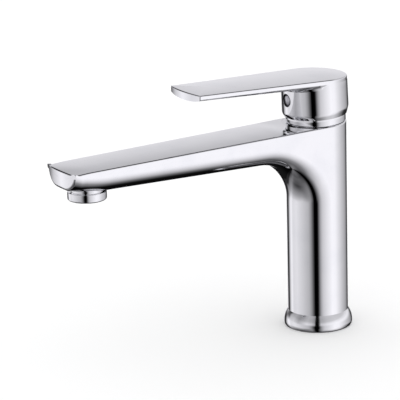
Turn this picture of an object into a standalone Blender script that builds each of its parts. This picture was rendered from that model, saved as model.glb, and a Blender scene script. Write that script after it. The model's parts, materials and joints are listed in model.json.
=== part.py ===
"""Single-lever basin mixer tap: body with a long flat-topped spout, lever handle, ceramic cartridge, aerator.

Units are metres and +Z is up. The origin is on the column's axis at the deck. The spout points to -Y.
The cartridge leans slightly forward: its pieces are modelled about their own local +Z and placed by
empties that stand on the cartridge's axis, so that each moving piece turns about its empty.
"""

import math

import bmesh
import bpy
from mathutils import Matrix, Vector

MM = 0.001

# Driving dimensions -----------------------------------------------------------------------------------
GAP = 0.3 * MM                    # air kept between neighbouring pieces

COLUMN_R = 22.5 * MM
FOOT_R = 25.6 * MM                # widest ring of the flared foot
FOOT_TOP = 12.4 * MM              # where the flare leaves the straight column
FOOT_WIDEST = 3.4 * MM            # height of the widest ring
FOOT_FACE_R = 24.0 * MM           # flat lower face
RIM_HEIGHT = 156.4 * MM           # top of the column, on its axis
HOSE_SPACE_R = 18.5 * MM
HOSE_SPACE_TOP = 100 * MM
GASKET_R = 22.7 * MM
GASKET_INNER_R = 20.9 * MM
GASKET_HEIGHT = 2.2 * MM
INLET_X = 8 * MM                  # the two water inlets, and the cartridge's ports above them
INLET_Y = 4.5 * MM
INLET_R = 4.5 * MM
STUD_HOLE_R = 3.6 * MM
STUD_HOLE_Y = -9 * MM
STUD_HOLE_TOP = 116 * MM

SPOUT_SLOPE = math.radians(1.14)  # the flat top falls towards the tip
SPOUT_TIP_Y = -211.6 * MM         # at the tip's corners
SPOUT_TIP_BOW = 1.7 * MM          # how far the end face's middle stands further out
SPOUT_TIP_HALF = 19.9 * MM
SPOUT_TIP_CORNER_R = 1.4 * MM
SPOUT_CORNER_R = 14.0 * MM        # rounding of the lower edges
SPOUT_BOTTOM = 132.7 * MM         # underside where the spout leaves the neck
SPOUT_BOTTOM_RISE = 0.0145        # metres per metre towards the tip
UPTURN_START = 184 * MM           # distance from the axis where the underside curls up
UPTURN_R = 105 * MM
NECK_R = 34 * MM                  # concave sweep between column and underside
WATERWAY_R = 5.5 * MM
WATERWAY_HEIGHT = 142 * MM        # at the aerator's bore

LEAN = math.radians(2.3)          # cartridge axis, towards the spout
SPOTFACE_R = 25.4 * MM
CHAMBER_R = 17.7 * MM
CHAMBER_FLOOR = -28.2 * MM        # below the rim, along the cartridge axis
NUT_BORE_R = 19.2 * MM
NUT_BORE_FLOOR = -7.0 * MM

COLLAR_R = 22.2 * MM
PIVOT_HEIGHT = 0.7 * MM           # lever pivot above the rim, on the cartridge axis
DOME_R = 22.45 * MM               # collar's dome, about the pivot
DOME_HOLE_R = 17.5 * MM
COLLAR_WALL = 1.8 * MM

NUT_ACROSS_FLATS = 32 * MM
NUT_TOP = 5 * MM
NUT_FLANGE_DEPTH = 6.5 * MM
NUT_HOLE_R = 14.8 * MM

# Cartridge: heights from the rim along its axis, ports beside the inlets' centres
HOUSING_R = 17.3 * MM
HOUSING_NECK_R = 14.4 * MM
HOUSING_BOTTOM = -26.6 * MM
HOUSING_BORE_R = 15.4 * MM
HOUSING_SHOULDER = -6.8 * MM
HOUSING_CEILING = -8.0 * MM
HOUSING_THROAT_R = 12.8 * MM
HOUSING_TOP = 5 * MM
GROOVE_R = 16.5 * MM
GROOVE_TOP = -21.5 * MM
GROOVE_BOTTOM = -24.1 * MM
O_RING_CORD_R = 0.45 * MM
BASE_R = 15.1 * MM
BASE_TOP = -20.4 * MM
FIXED_DISC_R = 15.0 * MM
FIXED_DISC_TOP = -17.1 * MM
DISC_THICKNESS = 3 * MM
SLIDING_R = 9.4 * MM              # moving disc and the plate that carries it
MOVING_DISC_TOP = -13.8 * MM
DISC_CARRIER_TOP = -10.5 * MM
OUTLET_Y = -8 * MM
CARRIER_R = 12.5 * MM
CARRIER_FLANGE_R = 15.1 * MM
CARRIER_TOP = 4.6 * MM
CARRIER_SHOULDER = -8.3 * MM
CARRIER_BOTTOM = -10.2 * MM

CAP_R_LOW = 24.7 * MM
CAP_R_TOP = 24.5 * MM
CAP_LIP_R = 22.65 * MM            # inner edge of the skirt
CAP_LIP_LAND = 0.65 * MM
CAP_LIP_HEIGHT = 5.7 * MM         # above the rim
CAP_CHAMFER_FRONT = 2.4 * MM
CAP_CHAMFER_REAR = 6.2 * MM
CAP_CAVITY_R = 23.1 * MM          # hollow of the cap, about the pivot
LEVER_TOP = 35.3 * MM             # above the rim, on the cartridge axis
LEVER_RISE = math.radians(1.41)   # the lever's top rises towards its tip
LEVER_LENGTH = 110.2 * MM
LEVER_TIP_HALF = 20.6 * MM
LEVER_EDGE = 3.0 * MM             # thickness along its sides
LEVER_TIP_DEPTH = 6.0 * MM        # thickness on its centre line, at the tip
LEVER_ROOT_DEPTH = 8.0 * MM
STEM_SIDE = 8.0 * MM
STEM_TOP = 30 * MM                # above the rim
BALL_DROP = 11.9 * MM             # ball end below the pivot
BALL_R = 2.2 * MM
PIN_R = 2.0 * MM
PLUG_HEIGHT = 19.7 * MM           # above the rim
PLUG_HOLE_R = 5.0 * MM
SCREW_R = 2.5 * MM

AERATOR_Y = -192.0 * MM
AERATOR_BOTTOM = 128.1 * MM
AERATOR_R = 14.0 * MM
AERATOR_THREAD_R = 12.0 * MM      # M24 x 1
AERATOR_BORE_TOP = 144 * MM
AERATOR_THREAD_TOP = 14.5 * MM    # above the aerator's own lower face, as all below
AERATOR_WALL_R = 10.2 * MM
AERATOR_MOUTH_R = 9.2 * MM
AERATOR_LEDGE = 1.2 * MM
INSERT_TOP = 10.5 * MM

COLLECTION = "mixer_faucet"
CUTTERS = "mixer_faucet_cutters"
ROUND_STEPS = 40                  # segments of a large round
SMALL_STEPS = 24
FINE_STEPS = 16
ABOVE_BODY = 172 * MM             # the body's loft runs up to here and is then cut down to its top faces
HALF_RING = 21                    # points on half a section of the body

# Values that follow from these
NECK_CENTRE_Y = -COLUMN_R - NECK_R
NECK_CENTRE_Z = SPOUT_BOTTOM - NECK_R

# Materials: base colour, metallic, roughness ----------------------------------------------------------
FINISHES = {
    "chrome": ((0.86, 0.86, 0.88), 1.0, 0.05),
    "plug_chrome": ((0.45, 0.45, 0.48), 1.0, 0.15),
    "brass": ((0.80, 0.62, 0.30), 1.0, 0.30),
    "steel": ((0.60, 0.60, 0.62), 1.0, 0.30),
    "rubber": ((0.03, 0.03, 0.03), 0.0, 0.70),
    "seal": ((0.55, 0.08, 0.05), 0.0, 0.60),
    "housing_plastic": ((0.82, 0.82, 0.80), 0.0, 0.45),
    "carrier_plastic": ((0.10, 0.22, 0.55), 0.0, 0.45),
    "insert_plastic": ((0.55, 0.57, 0.60), 0.0, 0.50),
    "ceramic": ((0.88, 0.86, 0.80), 0.0, 0.20),
}


# Scene helpers ----------------------------------------------------------------------------------------
def clear_scene():
    for obj in list(bpy.data.objects):
        bpy.data.objects.remove(obj, do_unlink=True)
    for collection in list(bpy.data.collections):
        bpy.data.collections.remove(collection)


def new_collection(name):
    collection = bpy.data.collections.new(name)
    bpy.context.scene.collection.children.link(collection)
    return collection


def new_material(part_name, finish):
    colour, metallic, roughness = FINISHES[finish]
    material = bpy.data.materials.new(part_name + "_material")
    material.use_nodes = True
    shader = material.node_tree.nodes["Principled BSDF"]
    shader.inputs["Base Color"].default_value = (*colour, 1.0)
    shader.inputs["Metallic"].default_value = metallic
    shader.inputs["Roughness"].default_value = roughness
    material.diffuse_color = (*colour, 1.0)
    return material


def new_empty(name, location, lean=0.0):
    empty = bpy.data.objects.new(name, None)
    empty.location = location
    empty.rotation_euler = (lean, 0, 0)
    empty.empty_display_size = 10 * MM
    bpy.data.collections[COLLECTION].objects.link(empty)
    return empty


def new_object(name, bm, parent=None, cutter=False):
    """An object from a bmesh, in the part's collection or among the cutters."""
    mesh = bpy.data.meshes.new(name)
    bmesh.ops.recalc_face_normals(bm, faces=bm.faces)
    bm.to_mesh(mesh)
    bm.free()
    return place(bpy.data.objects.new(name, mesh), parent, cutter)


def place(obj, parent, cutter):
    bpy.data.collections[CUTTERS if cutter else COLLECTION].objects.link(obj)
    obj.parent = parent
    if cutter:
        obj.hide_render = True
        obj.display_type = "WIRE"
    return obj


def finish(obj, look, smooth_angle=35):
    """Gives a finished part its own material and smooth shading on its round faces."""
    obj.data.materials.append(new_material(obj.name, look))
    obj.data.shade_smooth()
    obj.data.set_sharp_from_angle(angle=math.radians(smooth_angle))
    return obj


def combine(obj, other, operation):
    modifier = obj.modifiers.new(other.name, "BOOLEAN")
    modifier.operation = operation
    modifier.solver = "EXACT"
    modifier.object = other
    return obj


def cut(obj, *cutters):
    for cutter in cutters:
        combine(obj, cutter, "DIFFERENCE")
    return obj


def fuse(obj, *others):
    for other in others:
        combine(obj, other, "UNION")
    return obj


# Shape helpers ----------------------------------------------------------------------------------------
def turned(name, profile, parent=None, cutter=False, closed=True, steps=ROUND_STEPS):
    """A shape turned about local Z. The profile (radius, height) runs down the outer side first.

    A closed profile makes a ring, and an open one starts and ends on the axis.
    """
    count = len(profile)
    edges = [(i, i + 1) for i in range(count - 1)]
    if closed:
        edges.append((count - 1, 0))
    mesh = bpy.data.meshes.new(name)
    mesh.from_pydata([(radius, 0, height) for radius, height in profile], edges, [])
    obj = place(bpy.data.objects.new(name, mesh), parent, cutter)
    screw = obj.modifiers.new("turn", "SCREW")
    screw.axis = "Z"
    screw.angle = math.tau
    screw.steps = steps
    screw.render_steps = steps
    screw.use_merge_vertices = True
    screw.merge_threshold = 0.00001
    screw.use_smooth_shade = True
    return obj


def ring_profile(outer, inner, top, bottom, chamfer=0.0):
    """Square ring section with its two outer edges chamfered."""
    if chamfer == 0:
        return [(outer, top), (outer, bottom), (inner, bottom), (inner, top)]
    return [
        (outer - chamfer, top),
        (outer, top - chamfer),
        (outer, bottom + chamfer),
        (outer - chamfer, bottom),
        (inner, bottom),
        (inner, top),
    ]


def disc_profile(radius, top, bottom, chamfer=0.0):
    """Half section of a plain disc, from the axis out and back to the axis."""
    if chamfer == 0:
        return [(0, top), (radius, top), (radius, bottom), (0, bottom)]
    return [
        (0, top),
        (radius - chamfer, top),
        (radius, top - chamfer),
        (radius, bottom + chamfer),
        (radius - chamfer, bottom),
        (0, bottom),
    ]


def ease(t):
    """Runs from 0 to 1 and is level at both ends."""
    return t * t * (3 - 2 * t)


def arc(centre, radius, start, end, count):
    """Points (a, b) on an arc; angles in radians."""
    angles = [start + (end - start) * i / count for i in range(count + 1)]
    return [(centre[0] + radius * math.cos(a), centre[1] + radius * math.sin(a)) for a in angles]


def prism(name, across_flats, low, high, parent, cutter=True):
    """An upright hexagonal bar about the parent's Z axis."""
    radius = across_flats / 2 / math.cos(math.pi / 6)
    bm = bmesh.new()
    lift = Matrix.Translation((0, 0, (low + high) / 2))
    bmesh.ops.create_cone(
        bm, cap_ends=True, segments=6, radius1=radius, radius2=radius, depth=high - low, matrix=lift
    )
    return new_object(name, bm, parent, cutter)


def rod(name, radius, start, end, parent=None, cutter=False, segments=SMALL_STEPS):
    """A cylinder between two points."""
    start, end = Vector(start), Vector(end)
    along = end - start
    turn = along.to_track_quat("Z", "Y").to_matrix().to_4x4()
    matrix = Matrix.Translation((start + end) / 2) @ turn
    bm = bmesh.new()
    depth = along.length
    bmesh.ops.create_cone(
        bm, cap_ends=True, segments=segments, radius1=radius, radius2=radius, depth=depth, matrix=matrix
    )
    return new_object(name, bm, parent, cutter)


def box(name, low, high, parent=None, cutter=False):
    """A block between two corners."""
    low, high = Vector(low), Vector(high)
    size = high - low
    bm = bmesh.new()
    matrix = Matrix.Translation((low + high) / 2) @ Matrix.Diagonal((*size, 1))
    bmesh.ops.create_cube(bm, size=1, matrix=matrix)
    return new_object(name, bm, parent, cutter)


def loft(name, rings, parent=None, cutter=False):
    """Closed body through rings of equal point count, capped at both ends."""
    bm = bmesh.new()
    loops = [[bm.verts.new(point) for point in ring] for ring in rings]
    count = len(rings[0])
    for first, second in zip(loops, loops[1:]):
        for i in range(count):
            j = (i + 1) % count
            bm.faces.new((first[i], first[j], second[j], second[i]))
    bm.faces.new(list(reversed(loops[0])))
    bm.faces.new(loops[-1])
    return new_object(name, bm, parent, cutter)


def tube_cutter(name, points, radius):
    """A round passage along a smooth run of points, as a mesh that can cut."""
    curve = bpy.data.curves.new(name, "CURVE")
    curve.dimensions = "3D"
    curve.bevel_depth = radius
    curve.bevel_resolution = 2
    curve.resolution_u = 4
    curve.render_resolution_u = 0
    curve.use_fill_caps = True
    spline = curve.splines.new("POLY")
    spline.points.add(len(points) - 1)
    for target, point in zip(spline.points, points):
        target.co = (*point, 1)
    guide = bpy.data.objects.new(name + "_guide", curve)
    bpy.data.collections[CUTTERS].objects.link(guide)
    bpy.context.view_layer.update()
    evaluated = guide.evaluated_get(bpy.context.evaluated_depsgraph_get())
    mesh = bpy.data.meshes.new_from_object(evaluated)
    bpy.data.objects.remove(guide, do_unlink=True)
    bm = bmesh.new()
    bm.from_mesh(mesh)
    bmesh.ops.remove_doubles(bm, verts=bm.verts, dist=0.00001)
    bpy.data.meshes.remove(mesh)
    return new_object(name, bm, cutter=True)


def resample(points, count):
    """Points spread evenly along a polyline, both ends kept."""
    lengths = [0.0]
    for a, b in zip(points, points[1:]):
        lengths.append(lengths[-1] + math.dist(a, b))
    result = []
    index = 0
    for i in range(count):
        wanted = lengths[-1] * i / (count - 1)
        while index < len(points) - 2 and lengths[index + 1] < wanted:
            index += 1
        span = lengths[index + 1] - lengths[index]
        t = (wanted - lengths[index]) / span
        result.append(tuple(a + (b - a) * t for a, b in zip(points[index], points[index + 1])))
    return result


# Body casting -----------------------------------------------------------------------------------------
def spout_half_width(y):
    """The sides leave the column as tangents and close in evenly to the tip."""
    return COLUMN_R + (COLUMN_R - SPOUT_TIP_HALF) * min(y, 0) / -SPOUT_TIP_Y


def spout_bottom(y):
    """Height of the underside on the centre line, in front of the neck."""
    ahead = NECK_CENTRE_Y - y
    height = SPOUT_BOTTOM + SPOUT_BOTTOM_RISE * ahead
    past = -y - UPTURN_START
    if past > 0:
        height += UPTURN_R - math.sqrt(UPTURN_R**2 - past**2)
    return height


def lower_corner(half_width, corner, count=12):
    """(x, height above the lowest line) from the centre line to the top of the corner."""
    points = [(0.0, 0.0)]
    for i in range(count + 1):
        angle = math.pi / 2 * i / count
        points.append((half_width - corner + corner * math.sin(angle), corner * (1 - math.cos(angle))))
    return points


def mirrored_ring(half):
    """Closes a half section, which runs from the lower to the upper centre line, across X = 0."""
    return half + [(-x, y, z) for x, y, z in reversed(half[1:-1])]


def spout_ring(y):
    """Upright section of the spout."""
    half_width = spout_half_width(y)
    low = spout_bottom(y)
    outline = [(x, low + v) for x, v in lower_corner(half_width, SPOUT_CORNER_R)]
    outline += [(half_width, ABOVE_BODY), (0, ABOVE_BODY)]
    return mirrored_ring([(x, y, z) for x, z in resample(outline, HALF_RING)])


def neck_ring(angle):
    """Section through the neck by a plane that contains the sweep's centre line."""
    corner = COLUMN_R + (SPOUT_CORNER_R - COLUMN_R) * ease(angle / (math.pi / 2))
    corner_end_y = NECK_CENTRE_Y + (NECK_R + corner) * math.cos(angle)
    half_width = spout_half_width(corner_end_y)
    reach = [(x, NECK_R + v) for x, v in lower_corner(half_width, corner)]
    ahead, up = math.cos(angle), math.sin(angle)
    points = [(x, NECK_CENTRE_Y + rho * ahead, NECK_CENTRE_Z + rho * up) for x, rho in reach]
    slope = math.tan(angle)
    rear_steps = 24
    for i in range(1, rear_steps + 1):
        turn = math.pi / 2 * i / rear_steps
        x, y = COLUMN_R * math.cos(turn), COLUMN_R * math.sin(turn)
        z = NECK_CENTRE_Z + (y - NECK_CENTRE_Y) * slope
        if z > ABOVE_BODY:
            break
        if z > points[-1][2]:
            points.append((x, y, z))
    last = points[-1]
    if last[0] > 0.5 * MM:
        y = NECK_CENTRE_Y + (ABOVE_BODY - NECK_CENTRE_Z) / slope
        points.append((last[0], y, ABOVE_BODY))
        points.append((0.0, y, ABOVE_BODY))
    else:
        points[-1] = (0.0, last[1], last[2])
    return mirrored_ring(resample(points, HALF_RING))


def column_ring(radius, z):
    """Level ring, from the front centre line round to the rear one and back."""
    angles = [math.pi * i / (HALF_RING - 1) for i in range(HALF_RING)]
    half = [(radius * math.sin(a), -radius * math.cos(a), z) for a in angles]
    half[0] = (0.0, -radius, z)
    half[-1] = (0.0, radius, z)
    return mirrored_ring(half)


def foot_profile():
    """(radius, height) of the foot from the deck up to the column: convex, meeting it at a slight kink."""
    profile = [(FOOT_FACE_R, 0), (FOOT_R - 0.5 * MM, 1.2 * MM), (FOOT_R, FOOT_WIDEST)]
    steps = 6
    for i in range(1, steps + 1):
        t = i / steps
        profile.append((FOOT_R + (COLUMN_R - FOOT_R) * t**2, FOOT_WIDEST + (FOOT_TOP - FOOT_WIDEST) * t))
    return profile


def body_blank():
    """Foot, column, neck and spout in one loft, left too high and too long."""
    rings = [column_ring(radius, z) for radius, z in foot_profile()]
    rings.append(column_ring(COLUMN_R, NECK_CENTRE_Z))
    rings += [neck_ring(math.radians(angle)) for angle in range(10, 90, 10)]
    stations = [NECK_CENTRE_Y, -100 * MM, -150 * MM, -UPTURN_START, -197 * MM, -208 * MM, -220 * MM]
    rings += [spout_ring(y) for y in stations]
    return loft("body_casting", rings)


def tip_trimmer():
    """Cuts the spout's end to its plan: a slightly bowed face between two rounded corners."""
    clear_of_side = 0.05 * MM
    centre_x = SPOUT_TIP_HALF + clear_of_side - SPOUT_TIP_CORNER_R
    centre_y = SPOUT_TIP_Y + SPOUT_TIP_CORNER_R
    half = arc((centre_x, centre_y), SPOUT_TIP_CORNER_R, 0, -math.pi / 2, 5)
    steps = 6
    for i in range(1, steps + 1):
        across = 1 - i / steps
        half.append((centre_x * across, SPOUT_TIP_Y - SPOUT_TIP_BOW * (1 - across**2)))
    far_x, far_y = 40 * MM, -240 * MM
    outline = [(far_x, centre_y)] + half
    outline += [(-x, y) for x, y in reversed(half[:-1])]
    outline += [(-far_x, centre_y), (-far_x, far_y), (far_x, far_y)]
    low, high = 110 * MM, ABOVE_BODY + 5 * MM
    return loft("tip_cutter", [[(x, y, z) for x, y in outline] for z in (low, high)], cutter=True)


def spout_top_cutter():
    """Everything above the spout's sloping top, in front of the column's axis."""
    far, above_rim = 300 * MM, 0.1 * MM
    slab = box("spout_top_cutter", (-far, -far, 0), (far, 0, far), cutter=True)
    slab.location = (0, 0, RIM_HEIGHT + above_rim)
    slab.rotation_euler = (SPOUT_SLOPE, 0, 0)
    return slab


def chamber_cutter(axis):
    """Flat seat in the rim's plane, and below it the stepped bore for the nut and the cartridge."""
    above = 60 * MM
    profile = [
        (0, above),
        (SPOTFACE_R, above),
        (SPOTFACE_R, 0),
        (NUT_BORE_R, 0),
        (NUT_BORE_R, NUT_BORE_FLOOR),
        (CHAMBER_R, NUT_BORE_FLOOR),
        (CHAMBER_R, CHAMBER_FLOOR),
        (0, CHAMBER_FLOOR),
    ]
    return turned("chamber_cutter", profile, axis, cutter=True, closed=False)


def body_casting(axis):
    body = body_blank()
    below_deck = -5 * MM
    hoses = disc_profile(HOSE_SPACE_R, HOSE_SPACE_TOP, below_deck)
    groove = ring_profile(GASKET_R + GAP, GASKET_INNER_R - GAP, GASKET_HEIGHT + GAP, below_deck)
    cut(body, spout_top_cutter(), tip_trimmer(), chamber_cutter(axis))
    cut(body, turned("hose_space_cutter", hoses, cutter=True, closed=False))
    cut(body, turned("gasket_groove_cutter", groove, cutter=True))
    drill_start = HOSE_SPACE_TOP - 10 * MM
    inlet_top = RIM_HEIGHT + CHAMBER_FLOOR + 3 * MM
    for x, label in ((-INLET_X, "hot"), (INLET_X, "cold")):
        start, end = (x, INLET_Y, drill_start), (x, INLET_Y, inlet_top)
        cut(body, rod(label + "_inlet_cutter", INLET_R, start, end, cutter=True))
    start, end = (0, STUD_HOLE_Y, drill_start), (0, STUD_HOLE_Y, STUD_HOLE_TOP)
    cut(body, rod("stud_hole_cutter", STUD_HOLE_R, start, end, cutter=True))
    cut(body, tube_cutter("waterway_cutter", waterway_points(), WATERWAY_R))
    start, end = (0, AERATOR_Y, 120 * MM), (0, AERATOR_Y, AERATOR_BORE_TOP)
    bore_r = AERATOR_THREAD_R + GAP
    cut(body, rod("aerator_bore_cutter", bore_r, start, end, cutter=True, segments=ROUND_STEPS))
    return finish(body, "chrome")


def waterway_points():
    """From the cartridge chamber's front wall up into the spout and along it to the aerator's bore."""
    start_y, start_z = -14 * MM, 134 * MM
    crest_y, crest_z = -48 * MM, 143.5 * MM
    points = [(0, start_y, start_z)]
    steps = 6
    for i in range(1, steps + 1):
        t = i / steps
        points.append((0, start_y + (crest_y - start_y) * t, start_z + (crest_z - start_z) * ease(t)))
    points.append((0, AERATOR_Y, WATERWAY_HEIGHT))
    return points


def base_gasket():
    profile = ring_profile(GASKET_R, GASKET_INNER_R, GASKET_HEIGHT, 0)
    return finish(turned("base_gasket", profile), "rubber")


# Collar, nut and cartridge (all about the cartridge axis) ---------------------------------------------
def collar_ring(axis):
    """Trim ring whose upper part is a dome about the lever's pivot."""
    inner_r = DOME_R - COLLAR_WALL
    centre = (0, PIVOT_HEIGHT)
    dome_start, dome_end = math.acos(DOME_HOLE_R / DOME_R), math.acos(COLLAR_R / DOME_R)
    inside_start, inside_end = math.asin(COLLAR_WALL / inner_r), math.acos(DOME_HOLE_R / inner_r)
    profile = arc(centre, DOME_R, dome_start, dome_end, 5)
    profile += [(COLLAR_R, GAP), (NUT_BORE_R, GAP)]
    profile += arc(centre, inner_r, inside_start, inside_end, 4)
    return finish(turned("collar_ring", profile, axis), "chrome")


def cartridge_nut(axis):
    """Round flange that clamps the cartridge down, with a hexagon for the spanner above it."""
    flange = disc_profile(NUT_BORE_R - GAP, 0, -NUT_FLANGE_DEPTH, 0.6 * MM)
    nut = turned("cartridge_nut", flange, axis, closed=False)
    hexagon = prism("nut_hexagon", NUT_ACROSS_FLATS, -1 * MM, NUT_TOP, axis)
    hole = disc_profile(NUT_HOLE_R, NUT_TOP + 3 * MM, -NUT_FLANGE_DEPTH - 3 * MM)
    cut(fuse(nut, hexagon), turned("nut_hole_cutter", hole, axis, cutter=True, closed=False))
    return finish(nut, "brass")


def cartridge_housing(axis):
    profile = [
        (HOUSING_NECK_R, HOUSING_TOP),
        (HOUSING_NECK_R, HOUSING_SHOULDER),
        (HOUSING_R, HOUSING_SHOULDER),
        (HOUSING_R, GROOVE_TOP),
        (GROOVE_R, GROOVE_TOP),
        (GROOVE_R, GROOVE_BOTTOM),
        (HOUSING_R, GROOVE_BOTTOM),
        (HOUSING_R, HOUSING_BOTTOM),
        (HOUSING_BORE_R, HOUSING_BOTTOM),
        (HOUSING_BORE_R, HOUSING_CEILING),
        (HOUSING_THROAT_R, HOUSING_CEILING),
        (HOUSING_THROAT_R, HOUSING_TOP),
    ]
    return finish(turned("cartridge_housing", profile, axis), "housing_plastic")


def housing_o_ring(axis):
    """Round cord in the housing's groove."""
    centre = (GROOVE_R + O_RING_CORD_R + 0.1 * MM, (GROOVE_TOP + GROOVE_BOTTOM) / 2)
    cord = arc(centre, O_RING_CORD_R, math.pi / 2, math.pi / 2 - math.tau, 6)[:-1]
    return finish(turned("housing_o_ring", cord, axis), "rubber")


def drill_ports(obj, axis, inlet_r, outlet_r):
    """Hot, cold and outlet holes through a disc of the cartridge."""
    high, low = -15 * MM, -29 * MM
    ports = (
        ("hot", -INLET_X, INLET_Y, inlet_r),
        ("cold", INLET_X, INLET_Y, inlet_r),
        ("outlet", 0, OUTLET_Y, outlet_r),
    )
    for label, x, y, radius in ports:
        name = obj.name + "_" + label + "_cutter"
        cut(obj, rod(name, radius, (x, y, low), (x, y, high), axis, True))
    return obj


def cartridge_base(axis):
    profile = disc_profile(BASE_R, BASE_TOP, HOUSING_BOTTOM, 0.5 * MM)
    base = turned("cartridge_base", profile, axis, closed=False)
    return finish(drill_ports(base, axis, 3.4 * MM, 4 * MM), "housing_plastic")


def port_seals(axis):
    """One seal between the base and the chamber's floor at each inlet."""
    for x, label in ((-INLET_X, "hot"), (INLET_X, "cold")):
        seat = new_empty(label + "_seal_seat", (x, INLET_Y, 0))
        seat.parent = axis
        profile = ring_profile(6.2 * MM, 4.7 * MM, HOUSING_BOTTOM - GAP, CHAMBER_FLOOR + GAP)
        finish(turned(label + "_port_seal", profile, seat, steps=SMALL_STEPS), "seal")


def fixed_ceramic_disc(axis):
    profile = disc_profile(FIXED_DISC_R, FIXED_DISC_TOP, FIXED_DISC_TOP - DISC_THICKNESS, 0.3 * MM)
    disc = turned("fixed_ceramic_disc", profile, axis, closed=False)
    return finish(drill_ports(disc, axis, 2.8 * MM, 3.4 * MM), "ceramic")


# Turning core -----------------------------------------------------------------------------------------
def stem_carrier(rotor):
    """Rotor of the cartridge, slotted along the lever's swing and bored for its pin."""
    profile = [
        (0, CARRIER_TOP),
        (CARRIER_R, CARRIER_TOP),
        (CARRIER_R, CARRIER_SHOULDER),
        (CARRIER_FLANGE_R, CARRIER_SHOULDER),
        (CARRIER_FLANGE_R, CARRIER_BOTTOM),
        (0, CARRIER_BOTTOM),
    ]
    carrier = turned("stem_carrier", profile, rotor, closed=False)
    slot, reach = STEM_SIDE / 2 + 0.5 * MM, 9.6 * MM
    low, high = CARRIER_BOTTOM - 3 * MM, CARRIER_TOP + 3 * MM
    stem_way = box("stem_slot_cutter", (-slot, -reach, low), (slot, reach, high), rotor, True)
    left, right = (-20 * MM, 0, PIVOT_HEIGHT), (20 * MM, 0, PIVOT_HEIGHT)
    pin_hole = rod("pin_hole_cutter", PIN_R + GAP, left, right, rotor, True, FINE_STEPS)
    return finish(cut(carrier, stem_way, pin_hole), "carrier_plastic")


def pivot_pin(rotor):
    left, right = (-12 * MM, 0, PIVOT_HEIGHT), (12 * MM, 0, PIVOT_HEIGHT)
    return finish(rod("pivot_pin", PIN_R, left, right, rotor, segments=FINE_STEPS), "steel")


def hot_limit_ring(rotor):
    """Ring over the core's upper end, open at the rear, which stops the turn towards hot."""
    ring = turned("hot_limit_ring", ring_profile(14.2 * MM, 9.4 * MM, 7.2 * MM, 5.3 * MM), rotor)
    low, high = (-2 * MM, 12 * MM, 4 * MM), (2 * MM, 18 * MM, 9 * MM)
    return finish(cut(ring, box("limit_ring_cutter", low, high, rotor, True)), "seal")


def disc_carrier(slider):
    """Plate that the stem's ball pushes, with a slot across for the ball."""
    top, bottom = DISC_CARRIER_TOP, DISC_CARRIER_TOP - DISC_THICKNESS
    plate = turned("disc_carrier", disc_profile(SLIDING_R, top, bottom), slider, closed=False, steps=32)
    half, reach = 4 * MM, BALL_R + 0.4 * MM
    low, high = (-half, -reach, bottom - 1.5 * MM), (half, reach, top + 1.5 * MM)
    return finish(cut(plate, box("ball_slot_cutter", low, high, slider, True)), "carrier_plastic")


def moving_ceramic_disc(slider):
    """Disc with a pocket in its lower face, through which the ports open into each other."""
    top, bottom = MOVING_DISC_TOP, MOVING_DISC_TOP - DISC_THICKNESS
    profile = disc_profile(SLIDING_R, top, bottom, 0.3 * MM)
    disc = turned("moving_ceramic_disc", profile, slider, closed=False, steps=32)
    low, high = (-4 * MM, -5 * MM, bottom - 1.2 * MM), (4 * MM, 4 * MM, bottom + 1.6 * MM)
    return finish(cut(disc, box("mixing_pocket_cutter", low, high, slider, True)), "ceramic")


# Lever body (heights are above the pivot) -------------------------------------------------------------
def above_pivot(height):
    """Turns a height above the rim into one above the pivot."""
    return height - PIVOT_HEIGHT


def stem(pivot):
    """Square bar with a slim lower end that carries a ball."""
    half = STEM_SIDE / 2
    bar = box("stem", (-half, -half, -5.5 * MM), (half, half, above_pivot(STEM_TOP)), pivot)
    shank = rod("stem_shank", 1.6 * MM, (0, 0, -BALL_DROP), (0, 0, -5 * MM), pivot, True, FINE_STEPS)
    bm = bmesh.new()
    spot = Matrix.Translation((0, 0, -BALL_DROP))
    bmesh.ops.create_uvsphere(bm, u_segments=FINE_STEPS, v_segments=10, radius=BALL_R, matrix=spot)
    ball = new_object("stem_ball", bm, pivot, True)
    hole = rod("stem_hole_cutter", PIN_R + GAP, (-9 * MM, 0, 0), (9 * MM, 0, 0), pivot, True, FINE_STEPS)
    cut(fuse(bar, shank, ball), hole)
    return finish(bar, "brass")


def cap_skirt_ring(radius, front, rear):
    """Ring whose height runs from front (-Y) to rear."""
    points = []
    for i in range(ROUND_STEPS):
        turn = math.tau * i / ROUND_STEPS
        y = -math.cos(turn)
        height = front + (rear - front) * (y + 1) / 2
        points.append((radius * math.sin(turn), radius * y, above_pivot(height)))
    return points


def lever_half_width(ahead):
    """Half width of the lever at a distance in front of the cartridge axis."""
    inside_cap = 0.05 * MM
    return CAP_R_TOP - inside_cap + (LEVER_TIP_HALF - CAP_R_TOP) * ahead / LEVER_LENGTH


def lever_ring(ahead):
    """Lens section: flat top, short sides, crowned underside; in the lever's own plane."""
    half_width = lever_half_width(ahead)
    depth = LEVER_ROOT_DEPTH + (LEVER_TIP_DEPTH - LEVER_ROOT_DEPTH) * ahead / LEVER_LENGTH
    points = []
    count = 12
    for i in range(count + 1):
        across = -1 + 2 * i / count
        belly = math.sqrt(max(0, 1 - across**2))
        points.append((half_width * across, -ahead, -LEVER_EDGE - (depth - LEVER_EDGE) * belly))
    above_top = 4 * MM
    return points + [(half_width, -ahead, above_top), (-half_width, -ahead, above_top)]


def lever_blade(pivot):
    """The lever forward of the cap, and the cutter that gives both their flat top."""
    plane = new_empty("lever_plane", (0, 0, above_pivot(LEVER_TOP)), -LEVER_RISE - LEAN)
    plane.parent = pivot
    first, stations = 3 * MM, 5
    step = (LEVER_LENGTH - first) / stations
    rings = [lever_ring(first + step * i) for i in range(stations + 1)]
    blade = loft("lever_blade", rings, plane, cutter=True)
    far = 200 * MM
    slab = box("lever_top_cutter", (-far, -far, 0), (far, far, 60 * MM), plane, True)
    return blade, slab


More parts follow.
